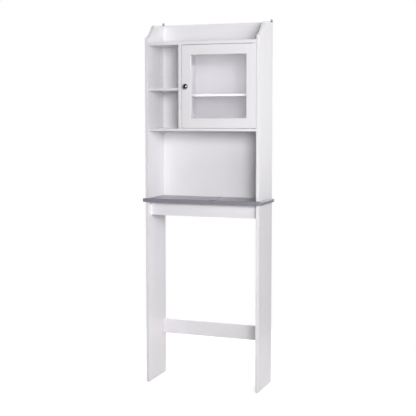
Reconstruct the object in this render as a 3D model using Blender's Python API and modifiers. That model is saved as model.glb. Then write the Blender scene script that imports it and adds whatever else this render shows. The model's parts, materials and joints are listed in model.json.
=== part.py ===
"""Over-the-toilet storage rack: a glazed cabinet and open shelves on two tall leg panels.

Metres, +Z up, the front faces -Y.  The origin is on the floor, in the middle of the rack's box.
"""

import math

import bmesh
import bpy
from mathutils import Matrix, Vector

# ---- driving dimensions -------------------------------------------------------------------------

HEIGHT = 1.700                  # floor to the side panels' highest points
WIDTH = 0.560                   # over the outer faces of the side panels
DEPTH = 0.203                   # front edge to rear edge of the side panels
BOARD = 0.015                   # side, leg, divider, apron and top boards
THIN_BOARD = 0.012              # shelves and cabinet bottom
FIT = 0.0003                    # gap between touching pieces
EDGE_BREAK = 0.0006             # eased edge of a board
ROUND_HANDLE = 0.5523           # Bezier handle of a quarter circle, over its radius

WORKTOP_TOP = 0.882             # height of the worktop's upper face
WORKTOP = 0.018                 # its thickness
WORKTOP_SIDE_OVERHANG = 0.0115
WORKTOP_FRONT_OVERHANG = 0.0135
WORKTOP_CORNER = 0.009          # plan radius of its front corners
WORKTOP_EDGE = 0.004            # rounding of its long edges

APRON_HEIGHT = 0.063
APRON_SETBACK = 0.027           # behind the legs' front edges
STRETCHER_BOTTOM = 0.203
STRETCHER_HEIGHT = 0.070

BACK_RECESS = 0.015             # rear edges of the sides to the back panel's rear face
BACK_PANEL = 0.003
GROOVE_DEPTH = 0.005
GROOVE_PLAY = 0.0003

CROWN_HEIGHT = 0.092            # top panel's upper face to the sides' highest points
OGEE_RUN = 0.084                # depth over which a side's top edge sweeps up from the front
OGEE_DROP = 0.071
OGEE_FOOT_HANDLE = (0.52, 0.12) # lower Bezier handle, over the ogee's run and drop
OGEE_TOP_HANDLE = (0.14, 0.05)  # upper handle, over its run and drop
CREST_RISE = 0.0075             # gentle rise from the ogee's end to the rear edge
CREST_HANDLE = (0.25, 0.45)     # Bezier handle, over the crest's run and rise
NOSE_RADIUS = 0.004

CABINET_CLEAR_HEIGHT = 0.383
CUBBY_WIDTH = 0.153             # clear width left of the divider

DOOR_GAP = 0.002
DOOR_THICKNESS = 0.016
FRAME_WIDTH = 0.045             # stiles and rails
FRAME_LIP = 0.007               # wood left in front of the glass
REBATE_WIDTH = 0.008
GLASS = 0.003
BEAD_WIDTH = 0.0072

PIVOT_MARGIN = 1.2              # pivot inset over the least that lets the door's edge turn free
PIVOT_RADIUS = 0.0025
PIVOT_SOCKET = 0.008            # pin in the cabinet's boards
PIVOT_REACH = 0.0075            # pin in the door
PIVOT_PLAY = 0.00008
PIVOT_CHAMFER = 0.0005
BUSH_RADIUS = 0.0045
BUSH_LENGTH = 0.010
COLLAR_RADIUS = 0.0055
COLLAR = 0.0012

KNOB_RADIUS = 0.0125
KNOB_PROJECTION = 0.022
KNOB_EDGE_HEIGHT = 0.013        # seat to the widest ring's lower side
KNOB_BAND = 0.002               # height of that ring
KNOB_FOOT_RADIUS = 0.0065
KNOB_FOOT = 0.0015              # foot's height at its rim
KNOB_WAIST_RADIUS = 0.0045
KNOB_WAIST_LOW = 0.004          # seat to the waist's lower end
KNOB_WAIST_DROP = 0.006         # widest ring to the waist's upper end
KNOB_UNDERCUT = 0.003           # how far the head is cut in below its ring
KNOB_DOME_STEP = 15             # degrees between the dome's rings
KNOB_SCREW_RADIUS = 0.002
KNOB_SCREW_GRIP = 0.010         # thread inside the knob
KNOB_SCREW_BORE_ROOM = 0.001    # bore beyond the screw's tip
KNOB_SCREW_HEAD = 0.0038        # head radius
KNOB_SCREW_HEAD_RIM = 0.0012    # seat to the end of the head's straight rim
KNOB_SCREW_HEAD_BROW = 0.0022
KNOB_SCREW_HEAD_TOP = 0.0024

CUBBY_SHELF_SETBACK = 0.005
CABINET_SHELF_SETBACK = 0.040
SHELF_END_PLAY = 0.0012
CUBBY_SHELF_RISE = 0.1745       # cabinet floor to the shelf's underside
CABINET_SHELF_RISE = 0.1465
PIN_RADIUS = 0.0025
PIN_DEPTH = 0.0065              # in the side
PIN_REACH = 0.0075              # under the shelf
PIN_PITCH = 0.032
PIN_ROWS = 5
PIN_EDGE_INSET = 0.026          # shelf edge to the pin's axis
PIN_RISE = 0.0035               # pin axis above the shelf's underside
PIN_PLAY = 0.00015
PIN_CHAMFER = 0.0004
PIN_COLLAR = 0.0008             # collar's radius over the pin's
SHELF_REAR_GAP = 0.001          # shelf to back panel

CATCH = Vector((0.013, 0.016, 0.046))
CATCH_EDGE = 0.001
STRIKE = Vector((0.013, 0.001, 0.034))
STRIKE_EDGE = 0.0002

CAM_RADIUS = 0.0075
CAM_WALL = 0.0007               # zinc left beyond the bolt's channel
CAM_INSET = 0.024               # board end to the cam's axis
CAM_BOLT_RADIUS = 0.0025
CAM_BOLT_ANCHOR = 0.010         # bolt in the leg panel
CAM_BOLT_HEAD = 0.0032
CAM_BOLT_BORE = 0.0036
CAM_BOLT_NECK = 0.0020          # radius between shoulder and head, and of the head's tip
CAM_BOLT_POINT = 0.0017         # radius of the anchored end
CAM_BOLT_CHAMFER = 0.001
CAM_BOLT_SHOULDER = (0.0015, 0.003)         # shoulder's rim and foot, from the leg's face
CAM_BOLT_HEAD_STEPS = (0.004, 0.003, 0.0012)  # head's back, rim and brow, from its tip
CAM_BOLT_TIP_GAP = 0.003        # head's tip to the cam's axis
CAM_SLOT = Vector((0.0035, 0.0018, 0.0007))   # driver slot: half length, depth, half width

STUD_RADIUS = 0.003
STUD_REACH = 0.020              # stud in each panel
STUD_INSET = 0.040              # panel edges to the stud's axis
STUD_CHAMFER = 0.0006

HANGER = Vector((0.010, 0.0015, 0.052))
HANGER_RISE = 0.0135            # above the side panels' tops
HANGER_WALL_HOLE = 0.00225
HANGER_SCREW_DROP = 0.030       # hanger's top to its fixing screw
SCREW_RADIUS = 0.0015
SCREW_HEAD_RADIUS = 0.0031
SCREW_LENGTH = 0.014
SCREW_POINT = 0.003             # tapered length at its tip
SCREW_SINK = 0.0001             # head below the hanger's face

# ---- places worked out from them ----------------------------------------------------------------

FRONT = -(DEPTH + FIT + HANGER.y - KNOB_PROJECTION) / 2
REAR = FRONT + DEPTH
OUTER = WIDTH / 2
INNER = OUTER - BOARD
LEG_TOP = WORKTOP_TOP - WORKTOP
BACK_FRONT = REAR - BACK_RECESS - BACK_PANEL
SHELF_REAR = BACK_FRONT - SHELF_REAR_GAP
TOP_PANEL_TOP = HEIGHT - CROWN_HEIGHT
TOP_PANEL_BOTTOM = TOP_PANEL_TOP - BOARD
CABINET_FLOOR = TOP_PANEL_BOTTOM - CABINET_CLEAR_HEIGHT
DIVIDER_LEFT = -INNER + CUBBY_WIDTH
DIVIDER_RIGHT = DIVIDER_LEFT + BOARD
DOOR_LEFT = DIVIDER_RIGHT + DOOR_GAP
DOOR_RIGHT = INNER - DOOR_GAP
DOOR_BOTTOM = CABINET_FLOOR + DOOR_GAP
DOOR_TOP = TOP_PANEL_BOTTOM - DOOR_GAP
DOOR_REAR = FRONT + DOOR_THICKNESS
PIVOT_INSET = PIVOT_MARGIN * ((DOOR_THICKNESS / 2) ** 2 - DOOR_GAP ** 2) / (2 * DOOR_GAP)
PIVOT_X = DOOR_RIGHT - PIVOT_INSET
PIVOT_Y = FRONT + DOOR_THICKNESS / 2
KNOB_X = DOOR_LEFT + FRAME_WIDTH / 2
KNOB_HEIGHT = (DOOR_BOTTOM + DOOR_TOP) / 2
WINDOW_LEFT = DOOR_LEFT + FRAME_WIDTH
WINDOW_RIGHT = DOOR_RIGHT - FRAME_WIDTH
WINDOW_BOTTOM = DOOR_BOTTOM + FRAME_WIDTH
WINDOW_TOP = DOOR_TOP - FRAME_WIDTH
CUBBY_SHELF_FRONT = FRONT + CUBBY_SHELF_SETBACK
CABINET_SHELF_FRONT = FRONT + CABINET_SHELF_SETBACK
CUBBY_SHELF_UNDERSIDE = CABINET_FLOOR + CUBBY_SHELF_RISE
CABINET_SHELF_UNDERSIDE = CABINET_FLOOR + CABINET_SHELF_RISE
CAM_DEPTH = BOARD / 2 + CAM_BOLT_BORE + CAM_WALL
SIDES = (("left", -1), ("right", 1))

TOWARDS_REAR = Matrix.Rotation(-math.pi / 2, 4, "X")      # local +Z to world +Y
TOWARDS_FRONT = Matrix.Rotation(math.pi / 2, 4, "X")      # local +Z to world -Y
TOWARDS_RIGHT = Matrix.Rotation(math.pi / 2, 4, "Y")      # local +Z to world +X
UPRIGHT = Matrix.Identity(4)

# ---- scene and materials ------------------------------------------------------------------------

for old in list(bpy.data.objects):
    bpy.data.objects.remove(old, do_unlink=True)


def new_collection(name):
    group = bpy.data.collections.new(name)
    bpy.context.scene.collection.children.link(group)
    return group


RACK = new_collection("over_toilet_rack")
CUTTERS = new_collection("cutters")


def new_material(name, colour, roughness, metallic=0.0, alpha=1.0):
    material = bpy.data.materials.new(name)
    material.use_nodes = True
    shader = material.node_tree.nodes["Principled BSDF"]
    shader.inputs["Base Color"].default_value = (*colour, 1)
    shader.inputs["Roughness"].default_value = roughness
    shader.inputs["Metallic"].default_value = metallic
    shader.inputs["Alpha"].default_value = alpha
    return material


WHITE = new_material("white_board", (0.80, 0.79, 0.82), 0.45)
GREY = new_material("grey_worktop", (0.40, 0.39, 0.43), 0.50)
BACKING = new_material("white_backing", (0.76, 0.75, 0.78), 0.60)
CLEAR = new_material("clear_glass", (0.90, 0.93, 0.93), 0.03, alpha=0.35)
CHROME = new_material("dark_chrome", (0.35, 0.35, 0.37), 0.12, 1.0)
STEEL = new_material("zinc_steel", (0.55, 0.55, 0.57), 0.38, 1.0)
ZAMAK = new_material("die_cast_zinc", (0.50, 0.50, 0.52), 0.45, 1.0)
NYLON = new_material("white_nylon", (0.82, 0.82, 0.80), 0.50)

# ---- shape helpers ------------------------------------------------------------------------------


def add_object(name, data, material, place=UPRIGHT):
    piece = bpy.data.objects.new(name, data)
    RACK.objects.link(piece)
    piece.matrix_world = place
    if material is not None:
        data.materials.append(material)
    return piece


def round_edges(piece, width, segments=1, angle=40):
    bevel = piece.modifiers.new("eased_edges", "BEVEL")
    bevel.width = width
    bevel.segments = segments
    bevel.limit_method = "ANGLE"
    bevel.angle_limit = math.radians(angle)
    return bevel


def box_mesh(name, size):
    shape = bmesh.new()
    bmesh.ops.create_cube(shape, size=1.0)
    bmesh.ops.scale(shape, vec=size, verts=shape.verts)
    data = bpy.data.meshes.new(name)
    shape.to_mesh(data)
    shape.free()
    return data


def board(name, low, high, material=WHITE, easing=EDGE_BREAK):
    """A flat board between two corners, with eased edges."""
    low = Vector(low)
    high = Vector(high)
    piece = add_object(name, box_mesh(name, high - low), material, Matrix.Translation((low + high) / 2))
    if easing:
        round_edges(piece, easing)
    return piece


def smooth(data, angle=35):
    data.shade_smooth()
    data.set_sharp_from_angle(angle=math.radians(angle))


def rod_mesh(name, radius, length, segments, tip_radius=None):
    """A cylinder or cone that starts at the local origin and runs along local +Z."""
    shape = bmesh.new()
    bmesh.ops.create_cone(
        shape,
        cap_ends=True,
        segments=segments,
        radius1=radius,
        radius2=radius if tip_radius is None else tip_radius,
        depth=length,
        matrix=Matrix.Translation((0, 0, length / 2)),
    )
    data = bpy.data.meshes.new(name)
    shape.to_mesh(data)
    shape.free()
    smooth(data)
    return data


def turned(name, profile, material, place, segments=24):
    """A turned piece about local Z; the profile runs down its outer side, then back up any bore."""
    data = bpy.data.meshes.new(name)
    points = [(radius, 0, height) for radius, height in profile]
    closed = profile[0][0] > 0
    count = len(points)
    edges = [(i, i + 1) for i in range(count - 1)]
    if closed:
        edges.append((count - 1, 0))
    data.from_pydata(points, edges, [])
    piece = add_object(name, data, material, place)
    screw = piece.modifiers.new("turning", "SCREW")
    screw.steps = segments
    screw.render_steps = segments
    screw.use_merge_vertices = True
    screw.merge_threshold = 0.00001
    screw.use_smooth_shade = True
    return piece


def make_cutter(name, data, place=UPRIGHT):
    tool = bpy.data.objects.new(name, data)
    CUTTERS.objects.link(tool)
    tool.matrix_world = place
    tool.hide_render = True
    tool.display_type = "WIRE"
    return tool


def cut(piece, tool):
    step = piece.modifiers.new(tool.name, "BOOLEAN")
    step.operation = "DIFFERENCE"
    step.solver = "EXACT"
    step.object = tool


def cut_box(piece, name, low, high):
    low = Vector(low)
    high = Vector(high)
    label = piece.name + "_" + name
    cut(piece, make_cutter(label, box_mesh(label, high - low), Matrix.Translation((low + high) / 2)))


def cut_hole(piece, name, start, direction, radius, length, segments=16, tip_radius=None):
    label = piece.name + "_" + name
    tool = make_cutter(
        label,
        rod_mesh(label, radius, length, segments, tip_radius),
        Matrix.Translation(start) @ direction,
    )
    cut(piece, tool)


def mesh_from_curve(name, curve):
    """A filled, extruded 2D curve turned into one welded mesh."""
    holder = bpy.data.objects.new(name + "_outline", curve)
    RACK.objects.link(holder)
    graph = bpy.context.evaluated_depsgraph_get()
    mesh = bpy.data.meshes.new_from_object(holder.evaluated_get(graph))
    bpy.data.objects.remove(holder, do_unlink=True)
    shape = bmesh.new()
    shape.from_mesh(mesh)
    bmesh.ops.remove_doubles(shape, verts=shape.verts, dist=0.00001)
    bmesh.ops.recalc_face_normals(shape, faces=shape.faces)
    shape.to_mesh(mesh)
    shape.free()
    mesh.name = name
    mesh.materials.clear()
    return mesh


def flat_outline(name, points, thickness, resolution=12):
    """A flat piece from (u, v, handle_before, handle_after) points; a None handle is a sharp corner."""
    curve = bpy.data.curves.new(name + "_outline", "CURVE")
    curve.dimensions = "2D"
    curve.fill_mode = "BOTH"
    curve.extrude = thickness / 2
    curve.resolution_u = resolution
    spline = curve.splines.new("BEZIER")
    spline.bezier_points.add(len(points) - 1)
    for node, (u, v, before, after) in zip(spline.bezier_points, points):
        node.co = (u, v, 0)
        node.handle_left_type = "VECTOR" if before is None else "FREE"
        node.handle_right_type = "VECTOR" if after is None else "FREE"
        if before is not None:
            node.handle_left = (*before, 0)
        if after is not None:
            node.handle_right = (*after, 0)
    spline.use_cyclic_u = True
    return mesh_from_curve(name, curve)


# ---- side and leg panels ------------------------------------------------------------------------

SIDE_PLANE = Matrix(((0, 0, 1, 0), (1, 0, 0, 0), (0, 1, 0, 0), (0, 0, 0, 1)))


def make_side_panel(side, sign):
    """Upper side: square at the worktop, with an ogee swept down to the front at the top."""
    nose = HEIGHT - OGEE_DROP
    shoulder = HEIGHT - CREST_RISE
    crest_run = REAR - FRONT - OGEE_RUN
    curl = NOSE_RADIUS * ROUND_HANDLE
    ogee_end = FRONT + OGEE_RUN
    points = [
        (FRONT, WORKTOP_TOP + FIT, None, None),
        (FRONT, nose - NOSE_RADIUS, None, (FRONT, nose - NOSE_RADIUS + curl)),
        (FRONT + NOSE_RADIUS, nose, (FRONT + NOSE_RADIUS - curl, nose),
         (FRONT + OGEE_FOOT_HANDLE[0] * OGEE_RUN, nose + OGEE_FOOT_HANDLE[1] * OGEE_DROP)),
        (ogee_end, shoulder,
         (ogee_end - OGEE_TOP_HANDLE[0] * OGEE_RUN, shoulder - OGEE_TOP_HANDLE[1] * OGEE_DROP),
         (ogee_end + CREST_HANDLE[0] * crest_run, shoulder + CREST_HANDLE[1] * CREST_RISE)),
        (REAR, HEIGHT, (REAR - CREST_HANDLE[0] * crest_run, HEIGHT), None),
        (REAR, WORKTOP_TOP + FIT, None, None),
    ]
    mesh = flat_outline(side + "_side_panel", points, BOARD)
    place = Matrix.Translation((sign * (OUTER - BOARD / 2), 0, 0)) @ SIDE_PLANE
    panel = add_object(side + "_side_panel", mesh, WHITE, place)
    round_edges(panel, EDGE_BREAK)
    inside = sign * INNER
    cut_box(
        panel, "groove",
        (min(inside - sign * BOARD, inside + sign * GROOVE_DEPTH), BACK_FRONT - GROOVE_PLAY,
         WORKTOP_TOP - BOARD),
        (max(inside - sign * BOARD, inside + sign * GROOVE_DEPTH),
         BACK_FRONT + BACK_PANEL + GROOVE_PLAY, TOP_PANEL_BOTTOM),
    )
    return panel


def make_leg_panel(side, sign):
    outer = sign * OUTER
    inside = sign * INNER
    return board(
        side + "_leg_panel",
        (min(outer, inside), FRONT, 0),
        (max(outer, inside), REAR, LEG_TOP - FIT),
    )


side_panels = {side: make_side_panel(side, sign) for side, sign in SIDES}
leg_panels = {side: make_leg_panel(side, sign) for side, sign in SIDES}

# ---- worktop ------------------------------------------------------------------------------------


def make_worktop():
    """Board with round front corners and rounded long edges."""
    half = OUTER + WORKTOP_SIDE_OVERHANG
    size = Vector((2 * half, DEPTH + WORKTOP_FRONT_OVERHANG, WORKTOP))
    shape = bmesh.new()
    bmesh.ops.create_cube(shape, size=1.0)
    bmesh.ops.scale(shape, vec=size, verts=shape.verts)
    corners = [
        edge for edge in shape.edges
        if all(vertex.co.y < 0 for vertex in edge.verts)
        and abs(edge.verts[0].co.x - edge.verts[1].co.x) < FIT
        and abs(edge.verts[0].co.z - edge.verts[1].co.z) > FIT
    ]
    bmesh.ops.bevel(
        shape, geom=corners, offset=WORKTOP_CORNER, segments=6, profile=0.5, affect="EDGES",
    )
    data = bpy.data.meshes.new("worktop")
    shape.to_mesh(data)
    shape.free()
    centre = ((0, FRONT - WORKTOP_FRONT_OVERHANG + size.y / 2, WORKTOP_TOP - WORKTOP / 2))
    top = add_object("worktop", data, GREY, Matrix.Translation(centre))
    round_edges(top, WORKTOP_EDGE, segments=4)
    return top


worktop = make_worktop()

# ---- boards between the legs --------------------------------------------------------------------

front_apron = board(
    "front_apron",
    (-INNER + FIT, FRONT + APRON_SETBACK, LEG_TOP - APRON_HEIGHT),
    (INNER - FIT, FRONT + APRON_SETBACK + BOARD, LEG_TOP - FIT),
)
rear_rail = board(
    "rear_rail",
    (-INNER + FIT, BACK_FRONT - BOARD, LEG_TOP - APRON_HEIGHT),
    (INNER - FIT, BACK_FRONT, LEG_TOP - FIT),
)
lower_stretcher = board(
    "lower_stretcher",
    (-INNER + FIT, BACK_FRONT - BOARD, STRETCHER_BOTTOM),
    (INNER - FIT, BACK_FRONT, STRETCHER_BOTTOM + STRETCHER_HEIGHT),
)

# ---- boards of the upper unit -------------------------------------------------------------------

top_panel = board(
    "top_panel",
    (-INNER + FIT, FRONT, TOP_PANEL_BOTTOM),
    (INNER - FIT, BACK_FRONT - FIT, TOP_PANEL_TOP),
)
cabinet_bottom = board(
    "cabinet_bottom",
    (-INNER + FIT, FRONT, CABINET_FLOOR - THIN_BOARD),
    (INNER - FIT, BACK_FRONT - FIT, CABINET_FLOOR),
)
centre_divider = board(
    "centre_divider",
    (DIVIDER_LEFT, FRONT, CABINET_FLOOR + FIT),
    (DIVIDER_RIGHT, BACK_FRONT - FIT, TOP_PANEL_BOTTOM - FIT),
)
board(
    "gallery_board",
    (-INNER + FIT, BACK_FRONT, TOP_PANEL_BOTTOM + FIT),
    (INNER - FIT, BACK_FRONT + BOARD, HEIGHT),
)
board(
    "back_panel",
    (-INNER - GROOVE_DEPTH + FIT, BACK_FRONT, WORKTOP_TOP + FIT),
    (INNER + GROOVE_DEPTH - FIT, BACK_FRONT + BACK_PANEL, TOP_PANEL_BOTTOM - FIT),
    BACKING,
    0,
)

# ---- adjustable shelves and their pins ----------------------------------------------------------


def make_shelf(name, left, right, front, underside):
    """A loose shelf; four open notches underneath keep it from sliding off its pins."""
    shelf = board(
        name,
        (left + SHELF_END_PLAY, front, underside),
        (right - SHELF_END_PLAY, SHELF_REAR, underside + THIN_BOARD),
    )
    half = PIN_RADIUS + 2 * FIT
    reach = PIN_REACH + FIT
    for row, pin_y in enumerate(pin_columns(front)):
        for end, (near, far) in enumerate(((left, left + reach), (right - reach, right))):
            cut_box(
                shelf, "notch_%d_%d" % (row, end),
                (near, pin_y - half, underside - BOARD),
                (far, pin_y + half, underside + PIN_RISE + PIN_RADIUS + FIT),
            )
    return shelf


def pin_columns(front):
    return front + PIN_EDGE_INSET, SHELF_REAR - PIN_EDGE_INSET


def drill_pin_holes(panel, face, inward, front, shelf_underside, label):
    """Two columns of blind holes; inward is +1 where the hole runs towards +X."""
    turn = TOWARDS_RIGHT if inward > 0 else TOWARDS_RIGHT.inverted()
    start = face - inward * FIT
    for column, pin_y in enumerate(pin_columns(front)):
        for row in range(PIN_ROWS):
            height = shelf_underside + PIN_RISE + (row - PIN_ROWS // 2) * PIN_PITCH
            cut_hole(
                panel, "%s_hole_%d_%d" % (label, column, row), (start, pin_y, height), turn,
                PIN_RADIUS + PIN_PLAY, PIN_DEPTH + 2 * FIT, segments=12,
            )


def add_pins(label, left, right, front, underside):
    """Four steel pins with a collar against the wall, half in the wall and half under the shelf."""
    collar_radius = PIN_RADIUS + PIN_COLLAR
    collar = SHELF_END_PLAY - 2 * FIT
    profile = [
        (0, PIN_REACH - FIT),
        (PIN_RADIUS - PIN_CHAMFER, PIN_REACH - FIT),
        (PIN_RADIUS, PIN_REACH - FIT - PIN_CHAMFER),
        (PIN_RADIUS, FIT + collar),
        (collar_radius, FIT + collar),
        (collar_radius, FIT),
        (PIN_RADIUS, FIT),
        (PIN_RADIUS, -PIN_DEPTH),
        (0, -PIN_DEPTH),
    ]
    for place, pin_y in zip(("front", "rear"), pin_columns(front)):
        for end, wall, turn in (
            ("left", left, TOWARDS_RIGHT), ("right", right, TOWARDS_RIGHT.inverted()),
        ):
            turned(
                "%s_pin_%s_%s" % (label, place, end), profile, STEEL,
                Matrix.Translation((wall, pin_y, underside + PIN_RISE)) @ turn, segments=12,
            )


make_shelf(
    "cubby_shelf", -INNER, DIVIDER_LEFT, CUBBY_SHELF_FRONT, CUBBY_SHELF_UNDERSIDE,
)
make_shelf(
    "cabinet_shelf", DIVIDER_RIGHT, INNER, CABINET_SHELF_FRONT, CABINET_SHELF_UNDERSIDE,
)
add_pins("cubby", -INNER, DIVIDER_LEFT, CUBBY_SHELF_FRONT, CUBBY_SHELF_UNDERSIDE)
add_pins("cabinet", DIVIDER_RIGHT, INNER, CABINET_SHELF_FRONT, CABINET_SHELF_UNDERSIDE)
drill_pin_holes(side_panels["left"], -INNER, -1, CUBBY_SHELF_FRONT, CUBBY_SHELF_UNDERSIDE, "cubby")
drill_pin_holes(centre_divider, DIVIDER_LEFT, 1, CUBBY_SHELF_FRONT, CUBBY_SHELF_UNDERSIDE, "cubby")
drill_pin_holes(
    centre_divider, DIVIDER_RIGHT, -1, CABINET_SHELF_FRONT, CABINET_SHELF_UNDERSIDE, "cabinet",
)
drill_pin_holes(
    side_panels["right"], INNER, 1, CABINET_SHELF_FRONT, CABINET_SHELF_UNDERSIDE, "cabinet",
)

# ---- door ---------------------------------------------------------------------------------------

door_pivot = bpy.data.objects.new("door_pivot", None)
RACK.objects.link(door_pivot)
door_pivot.location = (PIVOT_X, PIVOT_Y, DOOR_BOTTOM)
bpy.context.view_layer.update()


def hang_on_door(piece):
    world = piece.matrix_world.copy()
    piece.parent = door_pivot
    piece.matrix_parent_inverse = door_pivot.matrix_world.inverted()
    piece.matrix_world = world


def make_stile(side, left, right):
    stile = board("door_%s_stile" % side, (left, FRONT, DOOR_BOTTOM), (right, DOOR_REAR, DOOR_TOP))
    cut_box(
        stile, "rebate",
        (WINDOW_LEFT - REBATE_WIDTH, FRONT + FRAME_LIP, WINDOW_BOTTOM - REBATE_WIDTH),
        (WINDOW_RIGHT + REBATE_WIDTH, REAR, WINDOW_TOP + REBATE_WIDTH),
    )
    hang_on_door(stile)
    return stile


def make_rail(side, bottom, top):
    rail = board(
        "door_%s_rail" % side,
        (WINDOW_LEFT + FIT, FRONT, bottom),
        (WINDOW_RIGHT - FIT, DOOR_REAR, top),
    )
    cut_box(
        rail, "rebate",
        (DOOR_LEFT, FRONT + FRAME_LIP, WINDOW_BOTTOM - REBATE_WIDTH),
        (DOOR_RIGHT, REAR, WINDOW_TOP + REBATE_WIDTH),
    )
    hang_on_door(rail)
    return rail


door_left_stile = make_stile("left", DOOR_LEFT, WINDOW_LEFT)
door_right_stile = make_stile("right", WINDOW_RIGHT, DOOR_RIGHT)
make_rail("bottom", DOOR_BOTTOM, WINDOW_BOTTOM)
make_rail("top", WINDOW_TOP, DOOR_TOP)

PANE = REBATE_WIDTH - 2 * FIT
GLASS_FRONT = FRONT + FRAME_LIP + FIT
BEAD_FRONT = GLASS_FRONT + GLASS + FIT

hang_on_door(board(
    "door_glass",
    (WINDOW_LEFT - PANE, GLASS_FRONT, WINDOW_BOTTOM - PANE),
    (WINDOW_RIGHT + PANE, GLASS_FRONT + GLASS, WINDOW_TOP + PANE),
    CLEAR,
    0,
))


def make_bead(side, low_x, high_x, low_z, high_z):
    hang_on_door(board(
        "glazing_bead_" + side, (low_x, BEAD_FRONT, low_z), (high_x, DOOR_REAR, high_z),
    ))


make_bead("bottom", WINDOW_LEFT - PANE, WINDOW_RIGHT + PANE,
          WINDOW_BOTTOM - PANE, WINDOW_BOTTOM - PANE + BEAD_WIDTH)
make_bead("top", WINDOW_LEFT - PANE, WINDOW_RIGHT + PANE,
          WINDOW_TOP + PANE - BEAD_WIDTH, WINDOW_TOP + PANE)
for bead_side, bead_left in (
    ("left", WINDOW_LEFT - PANE), ("right", WINDOW_RIGHT + PANE - BEAD_WIDTH),
):
    make_bead(bead_side, bead_left, bead_left + BEAD_WIDTH,
              WINDOW_BOTTOM - PANE + BEAD_WIDTH + FIT, WINDOW_TOP + PANE - BEAD_WIDTH - FIT)


def add_knob():
    """Domed knob on a waisted neck, with a threaded bore, and the screw that holds it."""
    bore = KNOB_SCREW_RADIUS + FIT
    edge = KNOB_EDGE_HEIGHT
    dome_rise = KNOB_PROJECTION - edge - KNOB_BAND
    bore_end = KNOB_SCREW_GRIP + KNOB_SCREW_BORE_ROOM
    profile = [(0, KNOB_PROJECTION)]
    for degrees in range(KNOB_DOME_STEP, 91, KNOB_DOME_STEP):
        angle = math.radians(degrees)
        profile.append((KNOB_RADIUS * math.sin(angle),
                        edge + KNOB_BAND + dome_rise * math.cos(angle)))
    profile += [
        (KNOB_RADIUS, edge),
        (KNOB_RADIUS - KNOB_UNDERCUT, edge - KNOB_BAND),
        (KNOB_WAIST_RADIUS, edge - KNOB_WAIST_DROP),
        (KNOB_WAIST_RADIUS, KNOB_WAIST_LOW),
        (KNOB_FOOT_RADIUS, KNOB_FOOT),
        (KNOB_FOOT_RADIUS, FIT),
        (bore, FIT),
        (bore, bore_end),
        (0, bore_end),
    ]
    knob = turned(
        "door_knob", profile, CHROME,
        Matrix.Translation((KNOB_X, FRONT, KNOB_HEIGHT)) @ TOWARDS_FRONT, segments=32,
    )
    hang_on_door(knob)
    screw_profile = [
        (0, KNOB_SCREW_GRIP),
        (KNOB_SCREW_RADIUS, KNOB_SCREW_GRIP),
        (KNOB_SCREW_RADIUS, -DOOR_THICKNESS - FIT),
        (KNOB_SCREW_HEAD, -DOOR_THICKNESS - FIT),
        (KNOB_SCREW_HEAD, -DOOR_THICKNESS - KNOB_SCREW_HEAD_RIM),
        (KNOB_SCREW_HEAD - KNOB_SCREW_HEAD_RIM, -DOOR_THICKNESS - KNOB_SCREW_HEAD_BROW),
        (0, -DOOR_THICKNESS - KNOB_SCREW_HEAD_TOP),
    ]
    screw = turned(
        "knob_screw", screw_profile, STEEL,
        Matrix.Translation((KNOB_X, FRONT, KNOB_HEIGHT)) @ TOWARDS_FRONT, segments=16,
    )
    hang_on_door(screw)
    cut_hole(door_left_stile, "knob_hole", (KNOB_X, FRONT - BOARD, KNOB_HEIGHT), TOWARDS_REAR,
             KNOB_SCREW_RADIUS + FIT, DOOR_THICKNESS + 2 * BOARD)


add_knob()

# ---- door pivots --------------------------------------------------------------------------------


def add_pivot(end, board_piece, board_face, door_end, up):
    """A fixed pin in a cabinet board and the bush that it turns in, sunk into the door's end."""
    turn = UPRIGHT if up > 0 else Matrix.Rotation(math.pi, 4, "X")
    start = Matrix.Translation((PIVOT_X, PIVOT_Y, board_face)) @ turn
    tip = DOOR_GAP + PIVOT_REACH
    profile = [
        (0, tip),
        (PIVOT_RADIUS - PIVOT_CHAMFER, tip),
        (PIVOT_RADIUS, tip - PIVOT_CHAMFER),
        (PIVOT_RADIUS, FIT + COLLAR),
        (COLLAR_RADIUS, FIT + COLLAR),
        (COLLAR_RADIUS, FIT),
        (PIVOT_RADIUS, FIT),
        (PIVOT_RADIUS, -PIVOT_SOCKET),
        (0, -PIVOT_SOCKET),
    ]
    turned(end + "_pivot_pin", profile, STEEL, start)
    cut_hole(board_piece, end + "_pivot_socket", (PIVOT_X, PIVOT_Y, board_face + up * FIT),
             turn @ Matrix.Rotation(math.pi, 4, "X"),
             PIVOT_RADIUS + PIN_PLAY, PIVOT_SOCKET + 3 * FIT, segments=24)
    running = PIVOT_RADIUS + PIVOT_PLAY
    bush_profile = [
        (BUSH_RADIUS, BUSH_LENGTH),
        (BUSH_RADIUS, 0),
        (running, 0),
        (running, BUSH_LENGTH),
    ]
    bush = turned(end + "_pivot_bush", bush_profile, NYLON,
                  Matrix.Translation((PIVOT_X, PIVOT_Y, door_end)) @ turn)
    hang_on_door(bush)
    cut_hole(door_right_stile, end + "_bush_bore", (PIVOT_X, PIVOT_Y, door_end - up * FIT), turn,
             BUSH_RADIUS + FIT, BUSH_LENGTH + 3 * FIT, segments=24)


add_pivot("lower", cabinet_bottom, CABINET_FLOOR, DOOR_BOTTOM, 1)
add_pivot("upper", top_panel, TOP_PANEL_BOTTOM, DOOR_TOP, -1)

# ---- magnetic catch -----------------------------------------------------------------------------

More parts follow.
